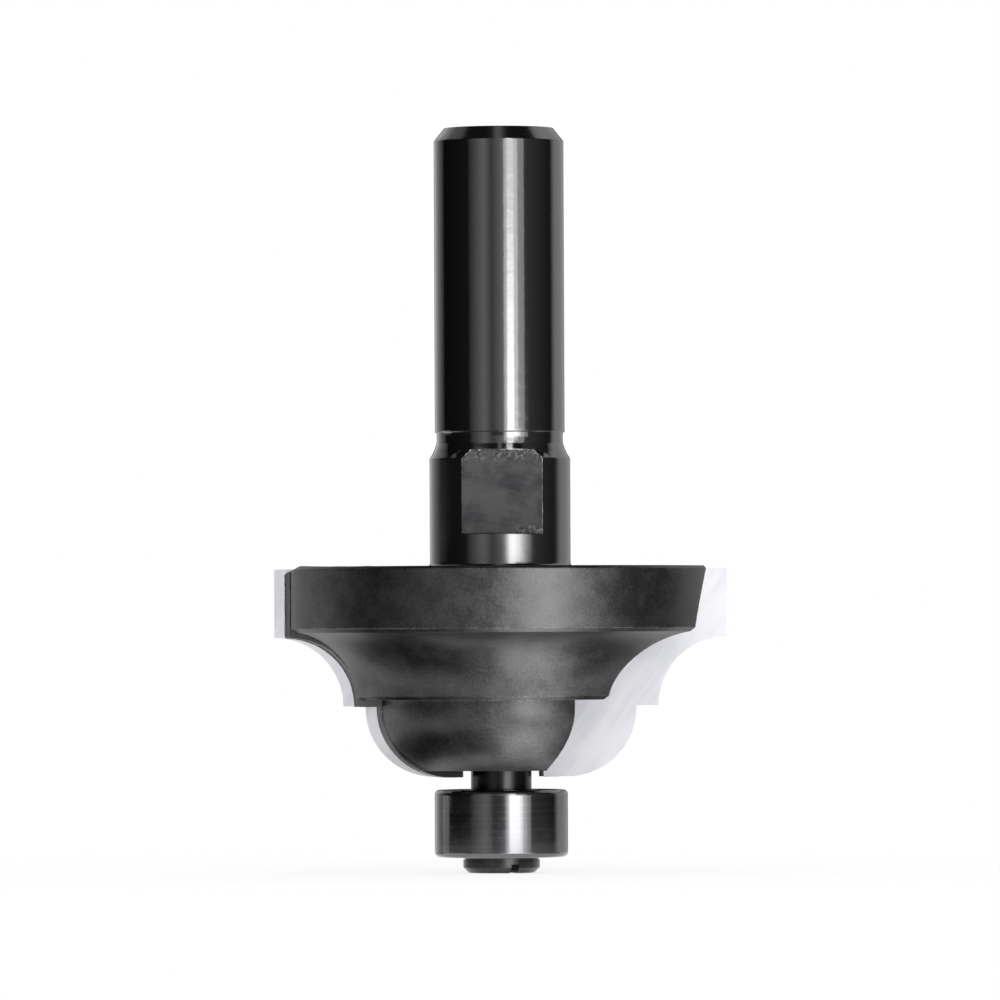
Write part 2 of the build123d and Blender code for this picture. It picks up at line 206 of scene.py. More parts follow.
@dataclass(frozen=True)
class Coat:
    """What one zone of a surface shows.

    Attributes:
        colour: The zone's colour.
        roughness: Its roughness.
        height: Its relief, mm.
    """

    colour: Socket
    roughness: Socket
    height: Socket

    def over(self, tree: Tree, base: "Coat", mask: Socket) -> "Coat":
        """Lay this coat over another.

        Args:
            tree: The material's node tree.
            base: The coat that shows where the mask is 0.
            mask: 1 where this coat shows.

        Returns:
            The two together.
        """
        colour = add_node(tree, "ShaderNodeMix", links={0: mask, 6: base.colour, 7: self.colour},
                          data_type="RGBA").outputs[2]
        roughness, height = (add_node(tree, "ShaderNodeMix", links={0: mask, 2: low, 3: high},
                                      data_type="FLOAT").outputs[0]
                             for low, high in ((base.roughness, self.roughness),
                                               (base.height, self.height)))
        return Coat(colour, roughness, height)


@dataclass(frozen=True)
class Finish:
    """A surface finish that becomes one material.

    Attributes:
        name: The material's name.
        colour: The metal's own colour, as sRGB hex.
        roughness: How far reflections are blurred.
    """

    name: str
    colour: str
    roughness: float

    def build(self) -> bpy.types.Material:
        """Make the material and wire its nodes.

        Returns:
            The material.
        """
        material = bpy.data.materials.new(self.name)
        tree = bare_tree(material)
        shader = add_node(tree, "ShaderNodeBsdfPrincipled",
                          {"Metallic": 1.0, "Base Color": linear(self.colour), "Roughness": self.roughness})
        add_node(tree, "ShaderNodeOutputMaterial", links={"Surface": shader.outputs["BSDF"]})
        place = add_node(tree, "ShaderNodeTexCoord").outputs["Object"]
        self.wire(tree, shader, place)
        return material

    def wire(self, tree: Tree, shader: bpy.types.Node, place: Socket) -> None:
        """Add what makes this finish differ from plain metal.

        Args:
            tree: The material's node tree.
            shader: The metal's shader.
            place: The coordinate that the patterns are laid over.
        """
        raise NotImplementedError

    def grain(self, tree: Tree, place: Socket, size_mm: float, detail: float = 2.0) -> Socket:
        """Add an even, cloudy pattern.

        Args:
            tree: The material's node tree.
            place: The coordinate to lay it over.
            size_mm: Width of one grain.
            detail: How many finer layers it has.

        Returns:
            A value from 0 to 1, mostly near 0.5.
        """
        return add_node(tree, "ShaderNodeTexNoise", {"Scale": 1 / (size_mm * MM), "Detail": detail,
                                                     "Roughness": 0.55}, {"Vector": place}).outputs["Fac"]

    def marks(self, tree: Tree, place: Socket, lay: Lay, spacing_mm: float, length_mm: float) -> Socket:
        """Add tool marks: a pattern that is fine across the marks and long along them.

        Args:
            tree: The material's node tree.
            place: The coordinate to lay it over.
            lay: Which way the marks run.
            spacing_mm: Distance from mark to mark.
            length_mm: How long one mark stays the same.

        Returns:
            A value from 0 to 1, mostly near 0.5.
        """
        fine, long = 1 / (spacing_mm * MM), 1 / (length_mm * MM)
        if lay is Lay.AROUND:
            laid = add_node(tree, "ShaderNodeMapping", {"Scale": (long, long, fine)}, {"Vector": place})
        elif lay is Lay.SLANTED:
            # A texture mapping turns the coordinate before it stretches it, so the marks slant too.
            laid = add_node(tree, "ShaderNodeMapping",
                            {"Rotation": (0.0, SLANT, 0.0), "Scale": (1 / long, 1 / long, 1 / fine)},
                            {"Vector": place}, vector_type="TEXTURE")
        else:
            centre, spread = (Vector(), (1.0, 1.0, 0.0)) if lay is Lay.FACED else \
                (MILL_CENTRE * MM, (1.0, 0.0, 1.0))
            flat_place = add_node(tree, "ShaderNodeMapping", {"Location": -centre, "Scale": spread},
                                  {"Vector": place})
            away = add_node(tree, "ShaderNodeVectorMath", links={0: flat_place.outputs[0]},
                            operation="LENGTH")
            rings = add_node(tree, "ShaderNodeCombineXYZ", links={"Z": away.outputs["Value"]})
            drift = add_node(tree, "ShaderNodeVectorMath", {1: (long / fine,) * 3}, {0: place},
                             operation="MULTIPLY")
            both = add_node(tree, "ShaderNodeVectorMath", links={0: rings.outputs[0], 1: drift.outputs[0]},
                            operation="ADD")
            laid = add_node(tree, "ShaderNodeVectorMath", {"Scale": fine}, {0: both.outputs[0]},
                            operation="SCALE")
        return add_node(tree, "ShaderNodeTexNoise", {"Scale": 1.0, "Detail": 3.0, "Roughness": 0.6},
                        {"Vector": laid.outputs[0]}).outputs["Fac"]

    def between(self, tree: Tree, share: Socket, low: float, high: float) -> Socket:
        """Turn a value from 0 to 1 into one from low to high."""
        return add_node(tree, "ShaderNodeMath", {1: high - low, 2: low}, {0: share},
                        operation="MULTIPLY_ADD").outputs[0]

    def sharpened(self, tree: Tree, share: Socket, start: float, end: float) -> Socket:
        """Stretch the part of a value between start and end over 0 to 1."""
        return add_node(tree, "ShaderNodeMapRange", {"From Min": start, "From Max": end}, {"Value": share},
                        interpolation_type="SMOOTHSTEP").outputs[0]

    def tinted(self, tree: Tree, share: Socket, low: str, high: str) -> Socket:
        """Turn a value from 0 to 1 into a colour between two sRGB hex colours."""
        return add_node(tree, "ShaderNodeMix", {6: linear(low), 7: linear(high)}, {0: share},
                        data_type="RGBA").outputs[2]

    def vary(self, tree: Tree, shader: bpy.types.Node, share: Socket, colours: tuple[str, str],
             spread: tuple[float, float]) -> None:
        """Let a value from 0 to 1 carry the colour and the roughness from one end to the other.

        Args:
            tree: The material's node tree.
            shader: The shader that shows them.
            share: The value.
            colours: The colour at 0 and at 1, as sRGB hex.
            spread: What is added to the finish's roughness at 0 and at 1.
        """
        low, high = (self.roughness + extra for extra in spread)
        tree.links.new(self.tinted(tree, share, *colours), shader.inputs["Base Color"])
        tree.links.new(self.between(tree, share, low, high), shader.inputs["Roughness"])

    def relief(self, tree: Tree, shader: bpy.types.Node, height: Socket,
               normal: Optional[Socket] = None) -> None:
        """Raise the surface by a height in millimetres.

        Args:
            tree: The material's node tree.
            shader: The shader whose surface is raised.
            height: The height, mm.
            normal: The direction that it is raised in, where that isn't the surface's own.
        """
        links = {"Height": height} | ({"Normal": normal} if normal else {})
        bump = add_node(tree, "ShaderNodeBump", {"Strength": 1.0, "Distance": MM}, links)
        tree.links.new(bump.outputs[0], shader.inputs["Normal"])


@dataclass(frozen=True)
class BlackenedToolSteel(Finish):
    """Alloy tool steel, hardened and black oxidised, in three zones.

    The shank, collar and neck were ground before blackening, so they mirror like black glass with
    fine rings; the neck is painted darker as shade between the head and the bearing. The head was
    bead blasted, so it is matte and mottled. The flats were end milled, so they are dull with swept
    cutter marks, and torn where the mill left the cut. The pale edges are partly rubbed bare and
    partly painted highlight. All lengths are mm.
    """

    sizes: BitSizes
    # How far past an edge a zone's border lies, so that no face is on it.
    clearance: float = 0.02

    # Ground zones: the shank is the brightest, the collar duller, the neck dullest. The neck's darker colour
    # is painted shade, where the head and the bearing shut out the light.
    neck_painted_shade_colour: str = "#3c3c3d"
    # How much smoother the brightest rings are than the shank on the whole, and how much rougher
    # than those the dullest rings are.
    ring_polish: float = 0.02
    ring_roughness: float = 0.05
    collar_extra_roughness: float = 0.08
    neck_extra_roughness: float = 0.07
    # The end chamfer was only turned, not ground.
    end_extra_roughness: float = 0.10
    end_chamfer: float = 1.17
    collar_lip: float = 0.1
    # Real grinding rings are about 0.02 mm apart; drawn six times coarser so that they show.
    ring_spacing: float = 0.12
    ring_length: float = 9.0
    ring_depth: float = 0.00012
    # Short marks where the grinding wheel chattered make the edges of highlights ragged.
    chatter_spacing: float = 0.5
    chatter_length: float = 1.0
    chatter_depth: float = 0.003
    wave_size: float = 1.3
    wave_depth: float = 0.006

    # Blasted zone. Grit leaves 0.1 mm dimples; drawn twice as coarse so that they show.
    blasted_colour: tuple[str, str] = ("#545455", "#686869")
    blasted_roughness: tuple[float, float] = (0.36, 0.44)
    mottle: tuple[float, float] = (0.36, 0.66)
    dimple_size: float = 0.2
    dimple_depth: float = 0.007
    cloud_size: float = 1.9

    # Milled zone: cutter marks 0.25 mm apart, one a tooth, mostly hidden under scuffs.
    milled_colour: tuple[str, str] = ("#38383a", "#5f5f60")
    milled_roughness: tuple[float, float] = (0.42, 0.6)
    mill_spacing: float = 0.25
    mill_length: float = 6.0
    mill_depth: float = 0.003
    scuff_size: float = 2.2
    scuff_share: float = 0.84
    scuff_contrast: tuple[float, float] = (0.33, 0.68)
    # The torn steel is bright and rough. It lies along a flat's top and in its lower right corner.
    torn_colour: tuple[str, str] = ("#434344", "#868688")
    torn_size: float = 0.3
    torn_patch_size: float = 0.8
    torn_contrast: tuple[float, float] = (0.4, 0.66)
    torn_depth: float = 0.012
    torn_top: tuple[float, float] = (1.5, 0.1)
    torn_foot: tuple[float, float] = (0.95, 0.35)
    torn_side: tuple[float, float] = (0.8, 1.7)

    # How sharply a ragged patch, torn or rubbed bare, breaks off.
    ragged: tuple[float, float] = (0.42, 0.58)

    # Edges painted pale, partly as steel rubbed bare by handling and partly as painted highlight along
    # them, most of it on the blasted head. An edge is as pale as the rounded surface turns away from the
    # real one there (the cosine between the two).
    wear_and_highlight_colour: str = "#a8a8aa"
    wear_and_highlight_turn: tuple[float, float] = (0.985, 0.86)
    wear_and_highlight_on_ground: float = 0.3
    edge_round: float = 0.16

    def wire(self, tree: Tree, shader: bpy.types.Node, place: Socket) -> None:
        """Lay the ground and milled zones over the blasted one and paint the edges pale, partly as wear and
        partly as painted highlight.

        Args:
            tree: The material's node tree.
            shader: The metal's shader.
            place: The coordinate that the patterns are laid over.
        """
        height = add_node(tree, "ShaderNodeSeparateXYZ", links={0: place}).outputs["Z"]
        sizes = self.sizes
        above, on_end = (add_node(tree, "ShaderNodeMath", {1: limit * MM}, {0: height},
                                  operation="GREATER_THAN").outputs[0]
                         for limit in (sizes.head_top + self.clearance, sizes.shank_top - self.end_chamfer))
        on_neck, on_collar = (add_node(tree, "ShaderNodeMath", {1: limit * MM}, {0: height},
                                       operation="LESS_THAN").outputs[0]
                              for limit in (sizes.head_bottom - self.clearance,
                                            sizes.collar_top - self.collar_lip))
        ground = add_node(tree, "ShaderNodeMath", links={0: above, 1: on_neck},
                          operation="MAXIMUM").outputs[0]

        dimples = self.grain(tree, place, self.dimple_size)
        clouds = self.grain(tree, place, self.cloud_size, 3.0)
        speckle = add_node(tree, "ShaderNodeMix", {0: 0.5}, {2: clouds, 3: dimples},
                           data_type="FLOAT").outputs[0]
        mottled = self.sharpened(tree, speckle, *self.mottle)
        coat = Coat(self.tinted(tree, mottled, *self.blasted_colour),
                    self.between(tree, mottled, *self.blasted_roughness),
                    self.between(tree, dimples, 0.0, self.dimple_depth))
        coat = self.ground_coat(tree, place, on_collar, on_neck, on_end).over(tree, coat, ground)
        coat = self.milled_coat(tree, place, height).over(tree, coat, self.on_flat(tree, place, height))

        rounded = add_node(tree, "ShaderNodeBevel", {"Radius": self.edge_round * MM}, samples=6).outputs[0]
        # Pale edges: partly steel rubbed bare, partly painted highlight along the edges.
        bare_and_highlit = self.wear_and_highlight_edge(tree, rounded, speckle, ground)
        colour = add_node(tree, "ShaderNodeMix", {7: linear(self.wear_and_highlight_colour)}, {0: bare_and_highlit, 6: coat.colour},
                          data_type="RGBA").outputs[2]
        tree.links.new(colour, shader.inputs["Base Color"])
        tree.links.new(coat.roughness, shader.inputs["Roughness"])
        self.relief(tree, shader, coat.height, rounded)

    def ground_coat(self, tree: Tree, place: Socket, on_collar: Socket, on_neck: Socket,
                    on_end: Socket) -> Coat:
        """Make the ground steel's look.

        Args:
            tree: The material's node tree.
            place: The coordinate to lay it over.
            on_collar: 1 at the collar and everywhere below it.
            on_neck: 1 at the neck.
            on_end: 1 at the shank's end chamfer.

        Returns:
            The coat.
        """
        rings = self.marks(tree, place, Lay.AROUND, self.ring_spacing, self.ring_length)
        low = self.roughness - self.ring_polish
        rough = self.between(tree, rings, low, low + self.ring_roughness)
        for mask, extra in ((on_collar, self.collar_extra_roughness), (on_neck, self.neck_extra_roughness),
                            (on_end, self.end_extra_roughness)):
            rough = add_node(tree, "ShaderNodeMath", {1: extra}, {0: mask, 2: rough},
                             operation="MULTIPLY_ADD").outputs[0]
        relief = self.between(tree, self.grain(tree, place, self.wave_size, 1.0), 0.0, self.wave_depth)
        chatter = self.marks(tree, place, Lay.AROUND, self.chatter_spacing, self.chatter_length)
        for pattern, depth in ((chatter, self.chatter_depth), (rings, self.ring_depth)):
            relief = add_node(tree, "ShaderNodeMath", {1: depth}, {0: pattern, 2: relief},
                              operation="MULTIPLY_ADD").outputs[0]
        # The neck takes a darker colour: painted shade between the head and the bearing.
        return Coat(self.tinted(tree, on_neck, self.colour, self.neck_painted_shade_colour), rough, relief)

    def on_flat(self, tree: Tree, place: Socket, height: Socket) -> Socket:
        """Find the two flats: far enough from the axis, and between their foot and the collar's top.

        Args:
            tree: The material's node tree.
            place: The coordinate.
            height: Its height.

        Returns:
            1 on a flat.
        """
        sizes, slack, margin, rise_past_collar = self.sizes, 0.012, 0.01, 0.5
        middle = (sizes.flat_bottom + sizes.collar_top + rise_past_collar) / 2
        outward = add_node(tree, "ShaderNodeVectorMath", {1: sizes.flat_direction}, {0: place},
                           operation="DOT_PRODUCT").outputs["Value"]
        far = add_node(tree, "ShaderNodeMath", links={0: outward}, operation="ABSOLUTE").outputs[0]
        in_plane, in_height = (
            add_node(tree, "ShaderNodeMath", {1: target * MM, 2: reach * MM}, {0: value},
                     operation="COMPARE").outputs[0]
            for value, target, reach in ((far, sizes.flat_distance, slack),
                                         (height, middle, middle - sizes.flat_bottom + margin)))
        return add_node(tree, "ShaderNodeMath", links={0: in_plane, 1: in_height},
                        operation="MULTIPLY").outputs[0]

    def milled_coat(self, tree: Tree, place: Socket, height: Socket) -> Coat:
        """Make the milled flats' look, with the torn steel on them.

        Args:
            tree: The material's node tree.
            place: The coordinate to lay it over.
            height: Its height.

        Returns:
            The coat.
        """
        swept = self.marks(tree, place, Lay.SWEPT, self.mill_spacing, self.mill_length)
        scuffs = self.grain(tree, place, self.scuff_size, 4.0)
        scuffed = add_node(tree, "ShaderNodeMix", {0: self.scuff_share}, {2: swept, 3: scuffs},
                           data_type="FLOAT").outputs[0]
        scuffed = self.sharpened(tree, scuffed, *self.scuff_contrast)

        bottom = self.sizes.flat_bottom
        top = bottom + self.sizes.flat_height
        across = add_node(tree, "ShaderNodeVectorMath", {1: self.sizes.flat_side}, {0: place},
                          operation="DOT_PRODUCT").outputs["Value"]
        at_top, at_foot, at_side = (
            self.sharpened(tree, value, start * MM, end * MM) for value, start, end in (
                (height, top - self.torn_top[0], top - self.torn_top[1]),
                (height, bottom + self.torn_foot[0], bottom + self.torn_foot[1]),
                (across, *self.torn_side)))
        corner = add_node(tree, "ShaderNodeMath", links={0: at_foot, 1: at_side}, operation="MULTIPLY")
        torn = add_node(tree, "ShaderNodeMath", links={0: at_top, 1: corner.outputs[0]}, operation="MAXIMUM")
        patches = self.sharpened(tree, self.grain(tree, place, self.torn_patch_size, 3.0), *self.ragged)
        torn = add_node(tree, "ShaderNodeMath", links={0: torn.outputs[0], 1: patches},
                        operation="MULTIPLY").outputs[0]
        bits = self.grain(tree, place, self.torn_size, 3.0)
        torn_bits = add_node(tree, "ShaderNodeMath", links={0: torn, 1: bits}, operation="MULTIPLY")
        relief = add_node(tree, "ShaderNodeMath", {1: self.torn_depth},
                          {0: torn_bits.outputs[0], 2: self.between(tree, swept, 0.0, self.mill_depth)},
                          operation="MULTIPLY_ADD").outputs[0]
        colour = add_node(
            tree, "ShaderNodeMix",
            links={0: torn, 6: self.tinted(tree, scuffed, *self.milled_colour),
                   7: self.tinted(tree, self.sharpened(tree, bits, *self.torn_contrast), *self.torn_colour)},
            data_type="RGBA").outputs[2]
        return Coat(colour, self.between(tree, scuffed, *self.milled_roughness), relief)

    def wear_and_highlight_edge(self, tree: Tree, rounded: Socket, speckle: Socket, ground: Socket) -> Socket:
        """Find the edges painted pale, partly as black rubbed off and partly as painted highlight, broken up
        by the speckle.

        Args:
            tree: The material's node tree.
            rounded: The direction that the surface would face with its edges rounded.
            speckle: The head's speckle.
            ground: 1 on the ground zones, which are painted less pale.

        Returns:
            How pale the edge is painted, as bare steel and as painted highlight.
        """
        facing = add_node(tree, "ShaderNodeNewGeometry").outputs["Normal"]
        agree = add_node(tree, "ShaderNodeVectorMath", links={0: rounded, 1: facing},
                         operation="DOT_PRODUCT").outputs["Value"]
        worn_and_highlit = self.sharpened(tree, agree, *self.wear_and_highlight_turn)
        for share in (self.sharpened(tree, speckle, *self.ragged),
                      self.between(tree, ground, 1.0, self.wear_and_highlight_on_ground)):
            worn_and_highlit = add_node(tree, "ShaderNodeMath", links={0: worn_and_highlit, 1: share},
                            operation="MULTIPLY").outputs[0]
        return worn_and_highlit


@dataclass(frozen=True)
class GroundCarbide(Finish):
    """Cemented tungsten carbide, diamond ground: a bright satin grey with fine slanting scratches.

    Its binder is metal but its carbide grains scatter light, so most of it shines like pale powder.
    """

    shade: str = "#d4d5db"
    # Wheel scratches are about 0.01 mm apart; drawn far coarser so that they show.
    scratch_spacing: float = 0.9
    scratch_length: float = 9.0
    scratch_depth: float = 0.0006
    metal_share: float = 0.3
    cloud_size: float = 4.5
    contrast: tuple[float, float] = (0.34, 0.62)
    spread: tuple[float, float] = (-0.04, 0.04)

    def wire(self, tree: Tree, shader: bpy.types.Node, place: Socket) -> None:
        """Lay slanting scratches and faint clouds over the tips.

        Args:
            tree: The material's node tree.
            shader: The metal's shader.
            place: The coordinate that the patterns are laid over.
        """
        scratches = self.marks(tree, place, Lay.SLANTED, self.scratch_spacing, self.scratch_length)
        clouds = self.grain(tree, place, self.cloud_size, 2.0)
        both = add_node(tree, "ShaderNodeMix", {0: 0.5}, {2: scratches, 3: clouds}, data_type="FLOAT")
        patchy = self.sharpened(tree, both.outputs[0], *self.contrast)
        self.vary(tree, shader, patchy, (self.shade, self.colour), self.spread)
        shader.inputs["Metallic"].default_value = self.metal_share
        self.relief(tree, shader, self.between(tree, scratches, 0.0, self.scratch_depth))


@dataclass(frozen=True)
class TurnedSteel(Finish):
    """Steel that was turned or ground round an axis, with fine rings in it.

    Attributes:
        lay: Which way the rings run.
        spacing: Distance between rings, mm.
        depth: Depth of the rings, mm.
        shade: The colour in the rings' valleys.
        length: How long one ring stays the same, mm.
        cloud_size: Width of the faint clouds between the rings, mm.
        cloud_share: How much of the pattern is clouds.
        contrast: The part of the pattern that is stretched from valley to crest.
        spread: What it adds to the roughness, at the valleys and at the crests.
    """

    lay: Lay
    spacing: float
    depth: float
    shade: str
    length: float = 8.0
    cloud_size: float = 1.1
    cloud_share: float = 0.4
    contrast: tuple[float, float] = (0.35, 0.65)
    spread: tuple[float, float] = (-0.02, 0.03)

    def wire(self, tree: Tree, shader: bpy.types.Node, place: Socket) -> None:
        """Lay the rings over the part.

        Args:
            tree: The material's node tree.
            shader: The metal's shader.
            place: The coordinate that the patterns are laid over.
        """
        rings = self.marks(tree, place, self.lay, self.spacing, self.length)
        clouds = self.grain(tree, place, self.cloud_size, 2.0)
        both = add_node(tree, "ShaderNodeMix", {0: self.cloud_share}, {2: rings, 3: clouds},
                        data_type="FLOAT")
        patchy = self.sharpened(tree, both.outputs[0], *self.contrast)
        self.vary(tree, shader, patchy, (self.shade, self.colour), self.spread)
        self.relief(tree, shader, self.between(tree, rings, 0.0, self.depth))


@dataclass(frozen=True)
class LappedSteel(Finish):
    """Hardened steel lapped to a mirror, with the faint haze that running in leaves on it."""

    shade: str = "#808082"
    haze_size: float = 0.5
    contrast: tuple[float, float] = (0.35, 0.65)
    spread: tuple[float, float] = (-0.01, 0.04)

    def wire(self, tree: Tree, shader: bpy.types.Node, place: Socket) -> None:
        """Lay the haze over the part.

        Args:
            tree: The material's node tree.
            shader: The metal's shader.
            place: The coordinate that the patterns are laid over.
        """
        haze = self.sharpened(tree, self.grain(tree, place, self.haze_size, 3.0), *self.contrast)
        self.vary(tree, shader, haze, (self.colour, self.shade), self.spread)


@dataclass(frozen=True)
class RolledSteel(Finish):
    """Cold rolled sheet steel, pressed to shape: bright, a little cloudy, with fine straight grain."""

    shade: str = "#8f9092"
    # Rolling lines are about 0.02 mm apart; drawn four times coarser so that they show.
    grain_width: float = 0.08
    grain_length: float = 3.0
    grain_depth: float = 0.0008
    contrast: tuple[float, float] = (0.35, 0.65)
    spread: tuple[float, float] = (-0.04, 0.05)

    def wire(self, tree: Tree, shader: bpy.types.Node, place: Socket) -> None:
        """Lay the straight rolling grain over the part.

        Args:
            tree: The material's node tree.
            shader: The metal's shader.
            place: The coordinate that the patterns are laid over.
        """
        scale = tuple(1 / (length * MM) for length in (self.grain_width, self.grain_length,
                                                       self.grain_length))
        laid = add_node(tree, "ShaderNodeMapping", {"Scale": scale}, {"Vector": place})
        grain = add_node(tree, "ShaderNodeTexNoise", {"Scale": 1.0, "Detail": 3.0},
                         {"Vector": laid.outputs[0]}).outputs["Fac"]
        patchy = self.sharpened(tree, grain, *self.contrast)
        self.vary(tree, shader, patchy, (self.shade, self.colour), self.spread)
        self.relief(tree, shader, self.between(tree, grain, 0.0, self.grain_depth))


@dataclass(frozen=True)
class RunMetal(Finish):
    """Metal that has run or torn, such as a braze line or a burr: bright and lumpy, darker in the hollows
    between the lumps.
    """

    shade: str = "#55524c"
    lump_size: float = 0.25
    lump_depth: float = 0.02
    contrast: tuple[float, float] = (0.38, 0.6)

    def wire(self, tree: Tree, shader: bpy.types.Node, place: Socket) -> None:
        """Lay the lumps over the piece, darker in the hollows between them.

        Args:
            tree: The material's node tree.
            shader: The metal's shader.
            place: The coordinate that the patterns are laid over.
        """
        lumps = self.grain(tree, place, self.lump_size, 3.0)
        patchy = self.sharpened(tree, lumps, *self.contrast)
        # The colour is darker where the lumps are low, in the hollows between them.
        tree.links.new(self.tinted(tree, patchy, self.shade, self.colour), shader.inputs["Base Color"])
        self.relief(tree, shader, self.between(tree, lumps, 0.0, self.lump_depth))


# ------------------------------------------------------------------------------------- sub-assemblies


def dress(name: str, material: bpy.types.Material) -> None:
    """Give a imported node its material.

    Args:
        name: The node's name.
        material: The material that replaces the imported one.
    """
    mesh = frame["nodes"][name].data
    mesh.materials.clear()
    mesh.materials.append(material)
    LOG.info("%s dressed in %s", name, material.name)


def rim_of_face(outward: Vector, distance: float, lowest: float = 0.0) -> EdgeTest:
    """Make the test for the edges round a flat face.

    Args:
        outward: The direction that the face looks in.
        distance: How far the face lies in that direction from the axis, mm.
        lowest: Height below which no edge counts, mm.

    Returns:
        The test.
    """
    slack, same_way = 0.01, 0.999

    def keep(edge: bmesh.types.BMEdge) -> bool:
        """Tell whether the edge lies in the plane and exactly one of its faces does.

        Args:
            edge: An edge of the welded mesh.

        Returns:
            Whether it belongs to the face's rim.
        """
        if min(vertex.co.z for vertex in edge.verts) < (lowest - slack) * MM:
            return False
        if any(abs(vertex.co.dot(outward) / MM - distance) > slack for vertex in edge.verts):
            return False
        in_face = [face.normal.dot(outward) > same_way for face in edge.link_faces]
        return in_face[0] != in_face[1]

    return keep


def lines_on_node(name: str, keep: EdgeTest) -> list[list[Vector]]:
    """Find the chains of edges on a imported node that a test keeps.

    Args:
        name: The node's name.
        keep: Tells whether an edge of the welded mesh belongs to the lines.

    Returns:
        Each chain of two or more points, in order, longest first.
    """
    weld = 0.0005 * MM
    welded = bmesh.new()
    welded.from_mesh(frame["nodes"][name].data)
    bmesh.ops.remove_doubles(welded, verts=welded.verts, dist=weld)
    welded.normal_update()
    kept = {edge for edge in welded.edges if len(edge.link_faces) == 2 and keep(edge)}
    chains = []
    while kept:
        first = min(kept, key=lambda edge: edge.index)
        kept.discard(first)
        run = [first.verts[0], first.verts[1]]
        for end in (-1, 0):
            while onward := [edge for edge in run[end].link_edges if edge in kept]:
                kept.discard(onward[0])
                beyond = onward[0].other_vert(run[end])
                run = run + [beyond] if end == -1 else [beyond] + run
        chains.append([vertex.co.copy() for vertex in run])
    welded.free()
    return sorted(chains, key=len, reverse=True)


def spaced(points: list[Vector], step: float) -> list[Vector]:
    """Divide a chain of points into nearly equal steps.

    Args:
        points: The chain's points in order, metres.
        step: Length of a step, metres.

    Returns:
        Points along the chain.
    """
    lengths = [0.0]
    for before, after in zip(points, points[1:]):
        lengths.append(lengths[-1] + (after - before).length)
    count = max(2, round(lengths[-1] / step))
    result, piece = [], 0
    for number in range(count + 1):
        target = lengths[-1] * number / count
        while piece < len(points) - 2 and lengths[piece + 1] < target:
            piece += 1
        span = lengths[piece + 1] - lengths[piece] or 1.0
        result.append(points[piece].lerp(points[piece + 1], (target - lengths[piece]) / span))
    return result


def run_bead(name: str, keep: EdgeTest, size: Callable[[Vector], float], step: float,
             metal: bpy.types.Material) -> None:
    """Run a lumpy bead of metal along lines on the cutter's body, tapered at its ends.

    Args:
        name: The piece's name.
        keep: Tells which edges of the body the bead follows.
        size: Gives the bead's radius at a point, metres.
        step: Distance between the bead's sections, metres.
        metal: The bead's material.
    """
    sides, taper, blunt_end = 8, 4, 0.15
    chains = lines_on_node("cutter_body", keep)
    work = bmesh.new()
    for chain in chains:
        centres = spaced(chain, step)
        last = len(centres) - 1
        sections, side = [], None
        for number, centre in enumerate(centres):
            along = (centres[min(number + 1, last)] - centres[max(number - 1, 0)]).normalized()
            side = (along.orthogonal() if side is None else side - along * side.dot(along)).normalized()
            up = along.cross(side)
            end_share = min(1.0, taper * min(number, last - number) / len(centres) + blunt_end)
            radius = size(centre) * end_share
            sections.append([work.verts.new(centre + radius * (side * math.cos(turn) + up * math.sin(turn)))
                             for turn in (2 * math.pi * corner / sides for corner in range(sides))])
        for low, high in zip(sections, sections[1:]):
            for corner in range(sides):
                nearby = (corner + 1) % sides
                work.faces.new((low[corner], low[nearby], high[nearby], high[corner]))
        work.faces.new(sections[0][::-1])
        work.faces.new(sections[-1])
    work.normal_update()
    bmesh.ops.recalc_face_normals(work, faces=work.faces)
    for face in work.faces:
        face.smooth = True
    mesh = bpy.data.meshes.new(name)
    work.to_mesh(mesh)
    work.free()
    mesh.materials.append(metal)
    piece = put_up(name, mesh)
    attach(piece, CUTTER)
    LOG.info("%s along %d lines", piece.name, len(chains))


@dataclass
class CutterBody:
    """The one-piece steel body: head, collar, neck and shank, with its burrs. All lengths are mm.

    Attributes:
        sizes: Where the body's zones lie.
        burr_size: Radius of the largest burrs.
        burr_step: Distance between the burrs' sections.
        burr_lump: Length of one ragged lump.
        thin: Share of the full size that the burrs have along a flat's sides.
        thick_from: Share of a flat's height from which they grow thicker.
        foot_thick: Share of the full size at the right of a flat's foot.
    """

    sizes: BitSizes
    burr_size: float = 0.075
    burr_step: float = 0.07
    burr_lump: float = 0.45
    thin: float = 0.3
    thick_from: float = 0.8
    foot_thick: float = 0.55

    def build(self) -> None:
        """Dress the body and raise the burrs that the end mill left round the flats."""
        steel = BlackenedToolSteel("blackened_tool_steel", "#7b7b7c", 0.09, self.sizes)
        dress("cutter_body", steel.build())
        burr = RunMetal("torn_steel_burr", "#c4c4c6", 0.3).build()
        for number, sense in enumerate((1, -1), start=1):
            rim = rim_of_face(self.sizes.flat_direction * sense, self.sizes.flat_distance,
                              self.sizes.flat_bottom)
            run_bead(f"flat_burr_{number}", rim, self.burr_radius, self.burr_step * MM, burr)

    def burr_radius(self, point: Vector) -> float:
        """Give the burr's radius: thickest at the flat's upper end, ragged all along.

        Args:
            point: A point on the flat's rim, metres.

        Returns:
            The radius there, metres.
        """
        growth, foot_rise, foot_side = 0.15, 0.02, 0.4 * MM
        least, peakedness, swell = 0.12, 1.5, 1.6
        ragged = 0.5 + 0.5 * noise.noise(point / (self.burr_lump * MM))
        rise = (point.z / MM - self.sizes.flat_bottom) / self.sizes.flat_height
        grown = max(0.0, min(1.0, (rise - self.thick_from) / growth))
        thick = self.thin + (1.0 - self.thin) * grown
        if rise < foot_rise and point.x > foot_side:
            thick = max(thick, self.foot_thick)
        return self.burr_size * MM * thick * max(least, ragged ** peakedness * swell)


